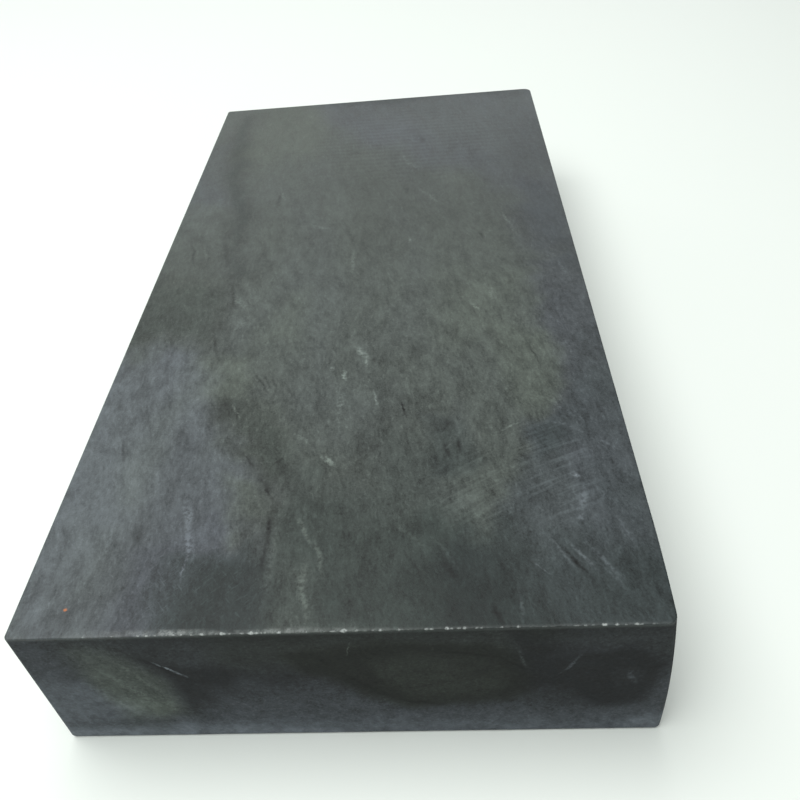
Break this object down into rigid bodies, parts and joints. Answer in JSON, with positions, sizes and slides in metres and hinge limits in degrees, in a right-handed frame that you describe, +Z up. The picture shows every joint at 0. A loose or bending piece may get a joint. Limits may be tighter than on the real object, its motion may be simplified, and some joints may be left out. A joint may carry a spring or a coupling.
{
  "type": "stone slab",
  "caption": "Solid rectangular slab of dark grey natural stone with a flat honed top, sawn sides and lightly worn edges, laid flat as a work base.",
  "frame": {"origin": "centre of the slab's bounding box, on the flat face it rests on", "axes": "+Z up, square to the resting face; +Y along the slab's length, away from the end with the worn top edge; +X across the slab"},
  "size_m": [0.152, 0.2999, 0.047],
  "materials": {
    "stone": "honed"
  },
  "bodies": {
    "root": {"stone_slab": "stone"}
  },
  "joints": []
}
